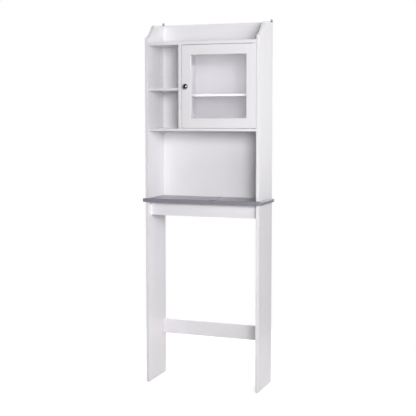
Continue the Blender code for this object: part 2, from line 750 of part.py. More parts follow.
catch_left = DIVIDER_RIGHT + FIT
strike_left = DOOR_LEFT + 2 * FIT
strike_front = DOOR_REAR + FIT
hang_on_door(board(
    "strike_plate",
    (strike_left, strike_front, KNOB_HEIGHT - STRIKE.z / 2),
    (strike_left + STRIKE.x, strike_front + STRIKE.y, KNOB_HEIGHT + STRIKE.z / 2),
    STEEL,
    STRIKE_EDGE,
))
catch_front = strike_front + STRIKE.y + FIT
board(
    "magnetic_catch",
    (catch_left, catch_front, KNOB_HEIGHT - CATCH.z / 2),
    (catch_left + CATCH.x, catch_front + CATCH.y, KNOB_HEIGHT + CATCH.z / 2),
    NYLON,
    CATCH_EDGE,
)

# ---- cam locks, bolts and studs -----------------------------------------------------------------


def add_cam_lock(member, label, side, sign, height):
    """A cam in the member's rear face draws in the head of a bolt screwed into the leg."""
    rear = BACK_FRONT if member is not front_apron else FRONT + APRON_SETBACK + BOARD
    middle = rear - BOARD / 2
    axis_x = sign * (INNER - CAM_INSET)
    cam_name = "%s_cam_%s" % (label, side)
    profile = [
        (0, CAM_DEPTH - FIT),
        (CAM_RADIUS, CAM_DEPTH - FIT),
        (CAM_RADIUS, 0),
        (0, 0),
    ]
    cam = turned(cam_name, profile, ZAMAK,
                 Matrix.Translation((axis_x, rear, height)) @ TOWARDS_FRONT, segments=24)
    outward = TOWARDS_RIGHT if sign > 0 else TOWARDS_RIGHT.inverted()
    cut_hole(cam, "mouth", (axis_x, middle, height), outward, CAM_BOLT_BORE, CAM_INSET)
    for reach, half_x, half_z in (
        ("upright", CAM_SLOT.z, CAM_SLOT.x), ("flat", CAM_SLOT.x, CAM_SLOT.z),
    ):
        cut_box(cam, reach + "_slot",
                (axis_x - half_x, rear - CAM_SLOT.y, height - half_z),
                (axis_x + half_x, rear + BOARD, height + half_z))
    cut_hole(member, cam_name + "_pocket", (axis_x, rear + FIT, height), TOWARDS_FRONT,
             CAM_RADIUS + FIT, CAM_DEPTH + FIT, segments=24)
    end_x = sign * (INNER + FIT)
    inward = outward.inverted()
    cut_hole(member, cam_name + "_bore", (end_x, middle, height), inward, CAM_BOLT_BORE, CAM_INSET)
    head_tip = CAM_INSET - CAM_BOLT_TIP_GAP
    shoulder_rim, shoulder_foot = CAM_BOLT_SHOULDER
    head_back, head_rim, head_brow = CAM_BOLT_HEAD_STEPS
    bolt_profile = [
        (0, CAM_BOLT_ANCHOR),
        (CAM_BOLT_POINT, CAM_BOLT_ANCHOR),
        (CAM_BOLT_RADIUS, CAM_BOLT_ANCHOR - CAM_BOLT_CHAMFER),
        (CAM_BOLT_RADIUS, 0),
        (CAM_BOLT_HEAD, 0),
        (CAM_BOLT_HEAD, -shoulder_rim),
        (CAM_BOLT_NECK, -shoulder_foot),
        (CAM_BOLT_NECK, -head_tip + head_back),
        (CAM_BOLT_HEAD, -head_tip + head_rim),
        (CAM_BOLT_HEAD, -head_tip + head_brow),
        (CAM_BOLT_NECK, -head_tip),
        (0, -head_tip),
    ]
    turned("%s_bolt_%s" % (label, side), bolt_profile, STEEL,
           Matrix.Translation((sign * INNER, middle, height)) @ outward, segments=12)
    cut_hole(leg_panels[side], cam_name + "_anchor", (sign * (INNER - FIT), middle, height), outward,
             CAM_BOLT_RADIUS + FIT, CAM_BOLT_ANCHOR + 3 * FIT)


for side, sign in SIDES:
    add_cam_lock(front_apron, "apron", side, sign, LEG_TOP - APRON_HEIGHT / 2)
    add_cam_lock(rear_rail, "rail", side, sign, LEG_TOP - APRON_HEIGHT / 2)
    add_cam_lock(lower_stretcher, "stretcher", side, sign, STRETCHER_BOTTOM + STRETCHER_HEIGHT / 2)


def add_stud(side, sign, place, stud_y):
    """A steel stud through the worktop that joins a leg panel to the side panel above it."""
    axis_x = sign * (OUTER - BOARD / 2)
    low = LEG_TOP - STUD_REACH
    length = WORKTOP + 2 * STUD_REACH
    profile = [
        (0, length),
        (STUD_RADIUS - STUD_CHAMFER, length),
        (STUD_RADIUS, length - STUD_CHAMFER),
        (STUD_RADIUS, STUD_CHAMFER),
        (STUD_RADIUS - STUD_CHAMFER, 0),
        (0, 0),
    ]
    turned("%s_stud_%s" % (place, side), profile, STEEL,
           Matrix.Translation((axis_x, stud_y, low)), segments=16)
    start = (axis_x, stud_y, low - FIT)
    for panel in (worktop, leg_panels[side], side_panels[side]):
        cut_hole(panel, "%s_stud_hole_%s" % (place, side), start, UPRIGHT,
                 STUD_RADIUS + FIT, length + 2 * FIT)


for side, sign in SIDES:
    add_stud(side, sign, "front", FRONT + STUD_INSET)
    add_stud(side, sign, "rear", REAR - STUD_INSET)

# ---- wall hangers -------------------------------------------------------------------------------


def add_hanger(side, sign):
    """A steel tab on the side panel's rear edge, holed for a wall screw above the panel."""
    centre_x = sign * (OUTER - BOARD / 2)
    front_face = REAR + FIT
    half = HANGER.x / 2
    top = HEIGHT + HANGER_RISE
    shoulder = top - half
    curl = half * ROUND_HANDLE
    points = [
        (-half, top - HANGER.z, None, None),
        (half, top - HANGER.z, None, None),
        (half, shoulder, None, (half, shoulder + curl)),
        (0, top, (curl, top), (-curl, top)),
        (-half, shoulder, (-half, shoulder + curl), None),
    ]
    mesh = flat_outline(side + "_wall_hanger", points, HANGER.y, resolution=6)
    place = Matrix.Translation((centre_x, front_face + HANGER.y / 2, 0)) @ TOWARDS_FRONT
    tab = add_object(side + "_wall_hanger", mesh, STEEL, place)
    cut_hole(tab, "wall_hole", (centre_x, front_face + 2 * HANGER.y, shoulder), TOWARDS_FRONT,
             HANGER_WALL_HOLE, 3 * HANGER.y, segments=20)
    rear_face = front_face + HANGER.y
    screw_z = top - HANGER_SCREW_DROP
    slope = (SCREW_HEAD_RADIUS - SCREW_RADIUS) / HANGER.y
    head_room = SCREW_HEAD_RADIUS + FIT + slope * FIT
    cut_hole(tab, "screw_hole", (centre_x, rear_face + FIT, screw_z), TOWARDS_FRONT,
             head_room, HANGER.y + 2 * FIT, segments=20,
             tip_radius=head_room - slope * (HANGER.y + 2 * FIT))
    screw_profile = [
        (0, SCREW_LENGTH),
        (SCREW_RADIUS, SCREW_LENGTH - SCREW_POINT),
        (SCREW_RADIUS, HANGER.y + SCREW_SINK),
        (SCREW_HEAD_RADIUS, SCREW_SINK),
        (0, SCREW_SINK),
    ]
    turned(side + "_hanger_screw", screw_profile, STEEL,
           Matrix.Translation((centre_x, rear_face, screw_z)) @ TOWARDS_FRONT, segments=20)
    cut_hole(side_panels[side], "hanger_pilot", (centre_x, REAR + FIT, screw_z), TOWARDS_FRONT,
             SCREW_RADIUS + FIT, SCREW_LENGTH, segments=12)


for side, sign in SIDES:
    add_hanger(side, sign)
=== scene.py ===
"""Looks of the over-the-toilet rack: finishes, small fittings, camera and studio light.

Metres, +Z up, the front faces -Y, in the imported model's own frame.
"""

import json
import math

import bmesh
import bpy
from mathutils import Matrix, Vector


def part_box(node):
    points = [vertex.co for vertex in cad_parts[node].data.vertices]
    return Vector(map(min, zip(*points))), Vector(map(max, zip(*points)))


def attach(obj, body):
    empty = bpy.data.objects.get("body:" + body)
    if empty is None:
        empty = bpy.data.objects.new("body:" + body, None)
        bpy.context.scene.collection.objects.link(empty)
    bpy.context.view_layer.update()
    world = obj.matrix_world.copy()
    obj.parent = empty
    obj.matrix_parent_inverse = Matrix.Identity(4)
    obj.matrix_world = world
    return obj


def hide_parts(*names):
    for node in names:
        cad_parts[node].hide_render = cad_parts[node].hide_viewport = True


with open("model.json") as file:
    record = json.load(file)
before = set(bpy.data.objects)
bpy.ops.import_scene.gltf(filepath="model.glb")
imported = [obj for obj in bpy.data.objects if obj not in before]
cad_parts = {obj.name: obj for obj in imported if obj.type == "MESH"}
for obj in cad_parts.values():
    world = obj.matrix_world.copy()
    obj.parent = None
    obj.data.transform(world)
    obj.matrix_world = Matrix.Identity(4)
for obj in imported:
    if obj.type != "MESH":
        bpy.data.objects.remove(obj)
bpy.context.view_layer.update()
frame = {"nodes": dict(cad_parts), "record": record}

CARCASS = "carcass"
DOOR = "door"
TOWARDS_FRONT = Matrix.Rotation(math.pi / 2, 4, "X")       # turns local +Z to world -Y
TOWARDS_REAR = Matrix.Rotation(-math.pi / 2, 4, "X")
TOWARDS_RIGHT = Matrix.Rotation(math.pi / 2, 4, "Y")
DOWNWARDS = Matrix.Rotation(math.pi, 4, "X")
FIT = 0.0003                     # the CAD's gap between touching pieces

# ---- camera -------------------------------------------------------------------------------------

IMAGE_SIZE = 416                 # pixels
FOCAL_LENGTH = 955.0             # pixels
SENSOR_WIDTH = 36.0              # millimetres
FRAMING_SHIFT = -0.02            # of the picture's width
CAMERA_PLACE = (1.5749, -4.1894, 1.2636)
CAMERA_DIP = 4.962               # degrees below level
CAMERA_TURN = 20.604             # degrees to the left of straight to the rear
CAMERA_REACH = 60


def add_camera():
    data = bpy.data.cameras.new("camera")
    data.sensor_width = SENSOR_WIDTH
    data.lens = FOCAL_LENGTH / IMAGE_SIZE * SENSOR_WIDTH
    data.shift_y = FRAMING_SHIFT
    data.clip_end = CAMERA_REACH
    camera = bpy.data.objects.new("camera", data)
    bpy.context.scene.collection.objects.link(camera)
    camera.location = CAMERA_PLACE
    camera.rotation_euler = (math.radians(90 - CAMERA_DIP), 0, math.radians(CAMERA_TURN))
    bpy.context.scene.camera = camera


add_camera()

# ---- shader helpers -----------------------------------------------------------------------------

MIX_FIRST = 6                    # a Mix node's colour sockets
MIX_SECOND = 7
MIX_RESULT = 2
SQUARE_NORMAL = 0.985            # a face normal's largest part, on a face square to the axes,
SLANTED_NORMAL = 0.90            # and on one that counts in full as an eased edge


class Shader:
    """A material's node tree with short calls that add and link nodes."""

    def __init__(self, name):
        self.material = bpy.data.materials.new(name)
        self.material.use_nodes = True
        self.tree = self.material.node_tree
        self.principled = self.tree.nodes["Principled BSDF"]
        self.output = self.tree.nodes["Material Output"]
        self.place = self.add("ShaderNodeTexCoord").outputs["Object"]

    def add(self, kind, settings=None, **inputs):
        node = self.tree.nodes.new(kind)
        for key, value in (settings or {}).items():
            setattr(node, key, value)
        for key, value in inputs.items():
            self.feed(node.inputs[key.replace("_", " ")], value)
        return node

    def feed(self, socket, value):
        if isinstance(value, bpy.types.NodeSocket):
            self.tree.links.new(value, socket)
        else:
            socket.default_value = value

    def surface(self, **inputs):
        for key, value in inputs.items():
            self.feed(self.principled.inputs[key.replace("_", " ")], value)

    def maths(self, operation, first, second=0.0):
        node = self.add("ShaderNodeMath", {"operation": operation})
        self.feed(node.inputs[0], first)
        self.feed(node.inputs[1], second)
        return node.outputs[0]

    def product(self, first, second):
        return self.maths("MULTIPLY", first, second)

    def average(self, first, share, second):
        """A weighted mean: share of the first value and the rest of the second."""
        return self.maths("ADD", self.product(first, share), self.product(second, 1 - share))

    def parts(self, vector):
        """The X, Y and Z of a vector."""
        split = self.add("ShaderNodeSeparateXYZ")
        self.feed(split.inputs[0], vector)
        return split.outputs

    def noise(self, scale, detail=3.0, roughness=0.5, vector=None):
        node = self.add("ShaderNodeTexNoise", Scale=scale, Detail=detail, Roughness=roughness)
        self.feed(node.inputs["Vector"], vector or self.place)
        return node.outputs["Fac"]

    def stretched(self, scale):
        node = self.add("ShaderNodeMapping", Scale=scale)
        self.feed(node.inputs["Vector"], self.place)
        return node.outputs["Vector"]

    def spread(self, value, low, high, to_low=0.0, to_high=1.0):
        """Maps low..high to to_low..to_high and clamps the rest; low may be the larger one."""
        node = self.add("ShaderNodeMapRange", {"clamp": True})
        self.feed(node.inputs["Value"], value)
        ends = {"From Min": low, "From Max": high, "To Min": to_low, "To Max": to_high}
        for key, number in ends.items():
            node.inputs[key].default_value = number
        return node.outputs["Result"]

    def blend(self, factor, first, second):
        node = self.add("ShaderNodeMix", {"data_type": "RGBA"})
        self.feed(node.inputs["Factor"], factor)
        for index, value in ((MIX_FIRST, first), (MIX_SECOND, second)):
            colour = value if isinstance(value, bpy.types.NodeSocket) else (*value, 1)
            self.feed(node.inputs[index], colour)
        return node.outputs[MIX_RESULT]

    def bump(self, height, distance, strength=1.0):
        node = self.add("ShaderNodeBump", Distance=distance, Strength=strength)
        self.feed(node.inputs["Height"], height)
        self.feed(self.principled.inputs["Normal"], node.outputs["Normal"])

    def face_normal(self):
        return self.parts(self.add("ShaderNodeNewGeometry").outputs["True Normal"])

    def eased_edge(self):
        """1 on chamfers, rounded edges and swept ends, 0 on faces square to the axes."""
        largest = 0.0
        for axis in self.face_normal():
            largest = self.maths("MAXIMUM", self.maths("ABSOLUTE", axis), largest)
        return self.spread(largest, SQUARE_NORMAL, SLANTED_NORMAL)

    def inside_box(self, low, high, skin, core):
        """0 down to skin below a box's faces and 1 from core on, as in a drilled hole or a groove."""
        depth = 1.0
        for axis, start, end in zip(self.parts(self.place), low, high):
            near = self.maths("SUBTRACT", axis, start)
            far = self.maths("SUBTRACT", end, axis)
            depth = self.maths("MINIMUM", depth, self.maths("MINIMUM", near, far))
        return self.spread(depth, skin, core)


# ---- finishes -----------------------------------------------------------------------------------

WHITE_LIGHT = (0.878, 0.862, 0.890)
WHITE_DARK = (0.856, 0.838, 0.870)
WHITE_EDGE = (0.900, 0.892, 0.908)
# colour of the painted shade that darkens the white foil near the floor
PAINTED_FOOT_SHADE = (0.650, 0.615, 0.645)
SCUFF = (0.62, 0.60, 0.59)
GREY_LIGHT = (0.282, 0.274, 0.322)
GREY_DARK = (0.273, 0.265, 0.312)
GREY_WORN = (0.50, 0.49, 0.53)
CHIPBOARD_LIGHT = (0.46, 0.34, 0.22)
CHIPBOARD_DARK = (0.20, 0.13, 0.08)
PAPER_LIGHT = (0.872, 0.858, 0.880)
PAPER_DARK = (0.852, 0.836, 0.862)
FIBRE_LIGHT = (0.40, 0.26, 0.15)
FIBRE_DARK = (0.27, 0.165, 0.09)
FIBRE_PATCH = (0.22, 0.13, 0.075)
GLASS_TINT = (0.975, 0.974, 0.980, 1)
LAMP_LIGHT_PASSED = (0.36, 0.36, 0.37, 1)

RAW_SKIN = 0.0009                # foil and face layer over the chipboard
RAW_CORE = 1.3 * RAW_SKIN        # bare chipboard from this depth on
RAW_ROUGHNESS = 0.9
PAINTED_SHADE_HEIGHT = 0.55               # painted shade near the floor fades out above this
# how strong the painted shade is at the floor
PAINTED_SHADE_STRENGTH = 0.62
PORE_STRENGTH = 0.10
EDGE_STRENGTH = 0.8
EDGE_SCUFFING = 0.45
RIM_WEAR = 0.35
GRAIN_ACROSS = 900.0             # noise scales of the foil's pores and of its wide streaks
GRAIN_ALONG = 45.0
STREAKS_ACROSS = 75.0
STREAKS_ALONG = 1.6
MESH_BANDS = 130.0               # of the press mesh's print on the back panel
SPARK_GRAIN = 2600.0             # noise scale of moulded plastic's skin


def chipboard(shader):
    """Pressed chips, as a drilled hole shows them."""
    chips = shader.add("ShaderNodeTexVoronoi", Scale=700.0)
    shader.feed(chips.inputs["Vector"], shader.stretched((1.0, 1.0, 0.4)))
    chip_tone = shader.spread(chips.outputs["Distance"], low=0.1, high=0.6)
    return shader.blend(chip_tone, CHIPBOARD_LIGHT, CHIPBOARD_DARK)


def along_board(shader, size, across, along):
    """Object coordinates, scaled by along on a board's longest side and by across on the others."""
    scale = [across] * 3
    longest = max(range(3), key=lambda axis: size[axis])
    scale[longest] = along
    return shader.stretched(scale)


def painted_floor_shade(shader):
    """Painted shade in patches, darkest at the floor."""
    height = shader.parts(shader.place)["Z"]
    fade = shader.spread(height, low=0.0, high=PAINTED_SHADE_HEIGHT, to_low=PAINTED_SHADE_STRENGTH, to_high=0.0)
    patches = shader.noise(scale=9.0, detail=4.0)
    return shader.product(fade, shader.spread(patches, low=0.25, high=0.60, to_low=0.75))


def white_foil(name, low, high, raw_inside=True):
    """White wood-grain foil on chipboard: grain along the board, faint mottle, scuffed edges, and painted
    shade near the floor.
    """
    shader = Shader(name)
    size = Vector(high) - Vector(low)
    grain = shader.noise(scale=1.0, detail=4.0, roughness=0.65,
                         vector=along_board(shader, size, GRAIN_ACROSS, GRAIN_ALONG))
    streaks = shader.noise(scale=1.0, detail=3.0, roughness=0.55,
                           vector=along_board(shader, size, STREAKS_ACROSS, STREAKS_ALONG))
    mottle = shader.noise(scale=5.0, detail=4.0, roughness=0.55)
    tone = shader.spread(shader.average(streaks, 0.6, mottle), low=0.38, high=0.62)
    base = shader.blend(tone, WHITE_DARK, WHITE_LIGHT)
    pores = shader.product(shader.spread(grain, low=0.60, high=0.72), PORE_STRENGTH)
    base = shader.blend(pores, base, SCUFF)
    # painted shade: the foil darkens in patches towards the floor
    base = shader.blend(painted_floor_shade(shader), base, PAINTED_FOOT_SHADE)
    edge = shader.eased_edge()
    base = shader.blend(shader.product(edge, EDGE_STRENGTH), base, WHITE_EDGE)
    worn = shader.spread(shader.noise(scale=38.0, detail=5.0, roughness=0.65), low=0.63, high=0.72)
    base = shader.blend(shader.product(shader.product(edge, worn), EDGE_SCUFFING), base, SCUFF)
    rough = shader.spread(shader.noise(scale=60.0), low=0.3, high=0.7, to_low=0.40, to_high=0.50)
    if raw_inside:
        raw = shader.inside_box(low, high, RAW_SKIN, RAW_CORE)
        base = shader.blend(raw, base, chipboard(shader))
        rough = shader.maths("MAXIMUM", rough, shader.product(raw, RAW_ROUGHNESS))
    shader.surface(Base_Color=base, Roughness=rough, Specular_IOR_Level=0.45)
    shader.bump(grain, distance=0.00004, strength=0.5)
    return shader.material


def grey_foil():
    """The worktop's plain grey foil: faint cloudy print along the board and a soft sheen."""
    shader = Shader("grey_worktop_foil")
    printed = shader.noise(scale=1.0, vector=shader.stretched((3.0, 40.0, 40.0)))
    cloud = shader.noise(scale=7.0)
    tone = shader.spread(shader.average(printed, 0.6, cloud), low=0.35, high=0.65)
    base = shader.blend(tone, GREY_DARK, GREY_LIGHT)
    worn = shader.spread(shader.noise(scale=30.0, detail=5.0, roughness=0.65), low=0.62, high=0.74)
    base = shader.blend(shader.product(shader.product(shader.eased_edge(), worn), RIM_WEAR),
                        base, GREY_WORN)
    rough = shader.spread(shader.noise(scale=12.0), low=0.3, high=0.7, to_low=0.27, to_high=0.31)
    shader.surface(Base_Color=base, Roughness=rough)
    shader.bump(cloud, distance=0.00002, strength=0.1)
    return shader.material


def backing_board():
    """Thin fibre board: white printed paper in front, bare brown mesh-pressed fibre behind."""
    shader = Shader("backing_board")
    paper_tone = shader.spread(shader.noise(scale=6.0, detail=4.0), low=0.35, high=0.65)
    paper = shader.blend(paper_tone, PAPER_DARK, PAPER_LIGHT)
    fibre = shader.noise(scale=260.0, detail=6.0, roughness=0.7)
    patch = shader.spread(shader.noise(scale=7.0), low=0.35, high=0.7, to_high=0.35)
    brown = shader.blend(shader.spread(fibre, low=0.3, high=0.7), FIBRE_DARK, FIBRE_LIGHT)
    brown = shader.blend(patch, brown, FIBRE_PATCH)
    is_front = shader.spread(shader.face_normal()["Y"], low=-0.9, high=-0.8, to_low=1.0, to_high=0.0)
    shader.surface(
        Base_Color=shader.blend(is_front, brown, paper),
        Roughness=shader.spread(is_front, low=0.0, high=1.0, to_low=0.85, to_high=0.55),
    )
    waves = []
    for direction in ("X", "Z"):
        wave = shader.add("ShaderNodeTexWave", {"bands_direction": direction}, Scale=MESH_BANDS)
        shader.feed(wave.inputs["Vector"], shader.place)
        waves.append(wave.outputs["Fac"])
    is_rear = shader.maths("SUBTRACT", 1.0, is_front)
    pressed = shader.product(shader.product(*waves), is_rear)
    relief = shader.maths("ADD", pressed, shader.product(fibre, 0.25))
    shader.bump(relief, distance=0.00012, strength=0.6)
    return shader.material


def clear_glass():
    """Clear glass with a faint film of finger marks.

    LAMP_LIGHT_PASSED is the share of lamp light that falls through it. It is chosen to match how
    dim the cabinet is in the photograph, and real glass passes far more.
    """
    shader = Shader("clear_glass")
    marks = shader.noise(scale=14.0, detail=5.0, roughness=0.6)
    film = shader.spread(marks, low=0.45, high=0.75, to_high=0.012)
    shader.surface(Base_Color=GLASS_TINT, Roughness=film, IOR=1.45, Transmission_Weight=1.0)
    through = shader.add("ShaderNodeBsdfTransparent", Color=LAMP_LIGHT_PASSED)
    path = shader.add("ShaderNodeLightPath")
    mix = shader.add("ShaderNodeMixShader")
    shader.feed(mix.inputs[0], path.outputs["Is Shadow Ray"])
    shader.feed(mix.inputs[1], shader.principled.outputs[0])
    shader.feed(mix.inputs[2], through.outputs[0])
    shader.feed(shader.output.inputs["Surface"], mix.outputs[0])
    return shader.material


def metal(name, dark, light, rough, brushing, relief=0.00001):
    """Metal with streaked tone and roughness; brushing is the streaks' scale along X, Y and Z."""
    shader = Shader(name)
    streaks = shader.noise(scale=1.0, detail=4.0, roughness=0.6, vector=shader.stretched(brushing))
    smudge = shader.noise(scale=90.0, detail=4.0, roughness=0.6)
    smear = shader.spread(smudge, low=0.3, high=0.7, to_low=-0.04, to_high=0.05)
    shader.surface(
        Base_Color=shader.blend(shader.spread(streaks, low=0.3, high=0.7), dark, light),
        Metallic=1.0,
        Roughness=shader.maths("ADD", smear, rough),
    )
    shader.bump(streaks, relief, strength=0.5)
    return shader.material


def moulded(name, colour, rough):
    """Moulded plastic with a fine spark-eroded skin."""
    shader = Shader(name)
    skin = shader.noise(scale=SPARK_GRAIN, detail=2.0)
    tone = shader.spread(shader.noise(scale=70.0), low=0.3, high=0.7)
    darker = tuple(0.93 * part for part in colour)
    sheen = shader.spread(skin, low=0.3, high=0.7, to_low=rough - 0.05, to_high=rough + 0.06)
    shader.surface(Base_Color=shader.blend(tone, darker, colour), Roughness=sheen)
    shader.bump(skin, distance=0.00003, strength=0.5)
    return shader.material


dark_chrome = metal("dark_chrome", dark=(0.20, 0.20, 0.21), light=(0.30, 0.30, 0.31), rough=0.14,
                    brushing=(300, 300, 300))
zinc_steel = metal("zinc_steel", dark=(0.30, 0.30, 0.32), light=(0.46, 0.46, 0.48), rough=0.34,
                   brushing=(900, 900, 60))
cast_zinc = metal("cast_zinc", dark=(0.34, 0.34, 0.35), light=(0.50, 0.50, 0.51), rough=0.42,
                  brushing=(500, 500, 500), relief=0.00003)
nylon = moulded("white_nylon", colour=(0.80, 0.80, 0.78), rough=0.45)
ferrite = moulded("ferrite_magnet", colour=(0.035, 0.033, 0.032), rough=0.60)

SHARED_FINISHES = {
    "grey_worktop": grey_foil(), "backing_board": backing_board(), "clear_glass": clear_glass(),
    "dark_chrome": dark_chrome, "zinc_steel": zinc_steel, "cast_zinc": cast_zinc,
    "white_nylon": nylon,
}

# ---- CAD nodes: shading and finishes ------------------------------------------------------------

BOARD_CREASE = 50                # degrees; a board's eased edges are shaded round
METAL_CREASE = 30
WELD_DISTANCE = 0.000002
LARGE_FACE_WEIGHT = 90           # of 100; large faces settle the normals at their edges
PAINTED_ALL_OVER = ("door_", "glazing_")       # rebates included, so no raw board shows


def smoothing_group(crease):
    """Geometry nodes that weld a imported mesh, shade it smooth and keep edges over the crease sharp."""
    group = bpy.data.node_groups.new("smooth_by_angle", "GeometryNodeTree")
    group.interface.new_socket("Geometry", in_out="INPUT", socket_type="NodeSocketGeometry")
    group.interface.new_socket("Geometry", in_out="OUTPUT", socket_type="NodeSocketGeometry")
    nodes, link = group.nodes, group.links.new
    start = nodes.new("NodeGroupInput")
    end = nodes.new("NodeGroupOutput")
    weld = nodes.new("GeometryNodeMergeByDistance")
    weld.inputs["Distance"].default_value = WELD_DISTANCE
    bare = nodes.new("GeometryNodeRemoveAttribute")
    bare.inputs["Name"].default_value = "custom_normal"
    faces = nodes.new("GeometryNodeSetShadeSmooth")
    edges = nodes.new("GeometryNodeSetShadeSmooth")
    edges.domain = "EDGE"
    angle = nodes.new("GeometryNodeInputMeshEdgeAngle")
    compare = nodes.new("FunctionNodeCompare")
    compare.operation = "LESS_THAN"
    compare.inputs[1].default_value = math.radians(crease)
    link(start.outputs[0], weld.inputs["Geometry"])
    link(weld.outputs[0], bare.inputs["Geometry"])
    link(bare.outputs[0], faces.inputs["Geometry"])
    link(faces.outputs[0], edges.inputs["Geometry"])
    link(angle.outputs["Unsigned Angle"], compare.inputs[0])
    link(compare.outputs[0], edges.inputs["Shade Smooth"])
    link(edges.outputs[0], end.inputs[0])
    return group


def smooth_shading(piece, group):
    nodes = piece.modifiers.new("smooth_by_angle", "NODES")
    nodes.node_group = group
    weighted = piece.modifiers.new("flat_faces_stay_flat", "WEIGHTED_NORMAL")
    weighted.keep_sharp = True
    weighted.weight = LARGE_FACE_WEIGHT


def finish_of(name, slot):
    if slot != "white_board":
        return SHARED_FINISHES[slot]
    low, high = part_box(name)
    if name.endswith("side_panel"):
        high.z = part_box("top_panel")[1].z          # the swept top edge is foiled too
    return white_foil("white_foil_" + name, low, high, raw_inside=not name.startswith(PAINTED_ALL_OVER))


def finish_cad_nodes():
    """Gives each CAD node its finish and smooth shading; the flat glass pane needs no smoothing."""
    board_smoothing = smoothing_group(BOARD_CREASE)
    metal_smoothing = smoothing_group(METAL_CREASE)
    slots = {row["node"]: row["material_slot"] for row in frame["record"]["subparts"]}
    for name, node in frame["nodes"].items():
        slot = slots[name]
        node.data.materials.clear()
        node.data.materials.append(finish_of(name, slot))
        if name != "door_glass":
            is_board = slot in ("white_board", "grey_worktop")
            smooth_shading(node, board_smoothing if is_board else metal_smoothing)


finish_cad_nodes()

# ---- fittings: mesh helpers ---------------------------------------------------------------------

FITTING_CREASE = 32              # degrees
FLAT_EASE = 0.0001               # chamfer round the top of a sunk screw
PAN_EASE = 0.00015               # chamfer under a pan head
BROW = 0.45                      # rounding of a pan head, of its height
TIP = 0.4                        # narrowing of a shank's tip, of its radius; it is twice as long
RECESS_REACH = 0.62              # sizes of a cross recess, of the screw head's radius
RECESS_WIDTH = 0.26
RECESS_DEPTH = 0.55
RECESS_TURN = 22                 # degrees
CUTTER_PROUD = 0.0005            # the cutter's top stands off the head
CUTTER_BOTTOM_REACH = 0.45       # of the reach at its top
CUTTER_BOTTOM_HALF = 0.35        # half the width at its bottom, of the width at its top


def mesh_object(name, mesh):
    data = bpy.data.meshes.new(name)
    bmesh.ops.recalc_face_normals(mesh, faces=mesh.faces)
    mesh.to_mesh(data)
    mesh.free()
    piece = bpy.data.objects.new(name, data)
    bpy.context.scene.collection.objects.link(piece)
    return piece


def fit(piece, body, material, stands_for=()):
    """Shades a new piece, gives it its finish and fixes it to its body."""
    piece.data.shade_smooth()
    piece.data.set_sharp_from_angle(angle=math.radians(FITTING_CREASE))
    piece.data.materials.clear()
    piece.data.materials.append(material)
    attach(piece, body)
    if stands_for:
        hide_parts(*stands_for)
    return piece


def seat_in_middle(low, high, y, turn):
    """A place at depth y in the middle of a box's width and height, with local +Z turned by turn."""
    return Matrix.Translation(((low.x + high.x) / 2, y, (low.z + high.z) / 2)) @ turn


def arc(centre_radius, centre_height, radius, start, end, steps):
    """(radius, height) points on an arc; 0 degrees points outwards and 90 up."""
    points = []
    for step in range(steps + 1):
        angle = math.radians(start + (end - start) * step / steps)
        points.append((centre_radius + radius * math.cos(angle), centre_height + radius * math.sin(angle)))
    return points


def quarter_turn(steps):
    """Angles from 0 to 90 degrees, both included."""
    return [math.radians(90 * step / steps) for step in range(steps + 1)]


def add_turned(mesh, profile, place, steps):
    """Turns (radius, height) points about local Z; the profile starts and ends on the axis."""
    rings = []
    for radius, height in profile:
        count = 1 if radius == 0 else steps
        rings.append([
            mesh.verts.new(place @ Vector((radius * math.cos(2 * math.pi * step / steps),
                                           radius * math.sin(2 * math.pi * step / steps), height)))
            for step in range(count)
        ])
    for upper, lower in zip(rings, rings[1:]):
        for step in range(steps):
            corners = []
            for ring, index in ((upper, step), (upper, step + 1), (lower, step + 1), (lower, step)):
                vertex = ring[index % len(ring)]
                if vertex not in corners:
                    corners.append(vertex)
            mesh.faces.new(corners)


def turned_piece(name, profile, places, steps):
    """One piece with the same turned form at every place."""
    mesh = bmesh.new()
    for place in places:
        add_turned(mesh, profile, place, steps)
    return mesh_object(name, mesh)


def box_mesh(low, high):
    mesh = bmesh.new()
    place = Matrix.Translation((low + high) / 2) @ Matrix.Diagonal((*(high - low), 1))
    bmesh.ops.create_cube(mesh, size=1.0, matrix=place)
    return mesh


def round_edges(mesh, edges, radius, segments):
    bmesh.ops.bevel(mesh, geom=edges, offset=radius, segments=segments, profile=0.5, affect="EDGES")


def block(name, low, high, rounding, segments=3):
    """A box with all its edges rounded."""
    mesh = box_mesh(Vector(low), Vector(high))
    round_edges(mesh, list(mesh.edges), rounding, segments)
    return mesh_object(name, mesh)


def cross_recess(reach, width, depth, place):
    """A tapered cross-shaped cutter; local z 0 is the screw's top and +Z points out of it."""
    mesh = bmesh.new()
    rings = []
    top = (reach, width / 2, CUTTER_PROUD)
    bottom = (CUTTER_BOTTOM_REACH * reach, CUTTER_BOTTOM_HALF * width, -depth)
    for arm, half, height in (top, bottom):
        outline = []
        for turn in range(4):
            quarter = Matrix.Rotation(turn * math.pi / 2, 4, "Z")
            for corner in ((half, -half), (arm, -half), (arm, half)):
                outline.append(mesh.verts.new(place @ quarter @ Vector((*corner, height))))
        rings.append(outline)
    upper, lower = rings
    mesh.faces.new(upper)
    mesh.faces.new(lower)
    for index in range(len(upper)):
        after = (index + 1) % len(upper)
        mesh.faces.new((upper[index], upper[after], lower[after], lower[index]))
    return mesh_object("cross_recess", mesh)


def carve(piece, cutter):
    """Cuts the cutter out of a piece and removes it."""
    cutting = piece.modifiers.new("carving", "BOOLEAN")
    cutting.object = cutter
    bpy.context.view_layer.update()
    evaluated = piece.evaluated_get(bpy.context.evaluated_depsgraph_get())
    carved = bpy.data.meshes.new_from_object(evaluated)
    piece.modifiers.clear()
    piece.data = carved
    bpy.data.objects.remove(cutter)


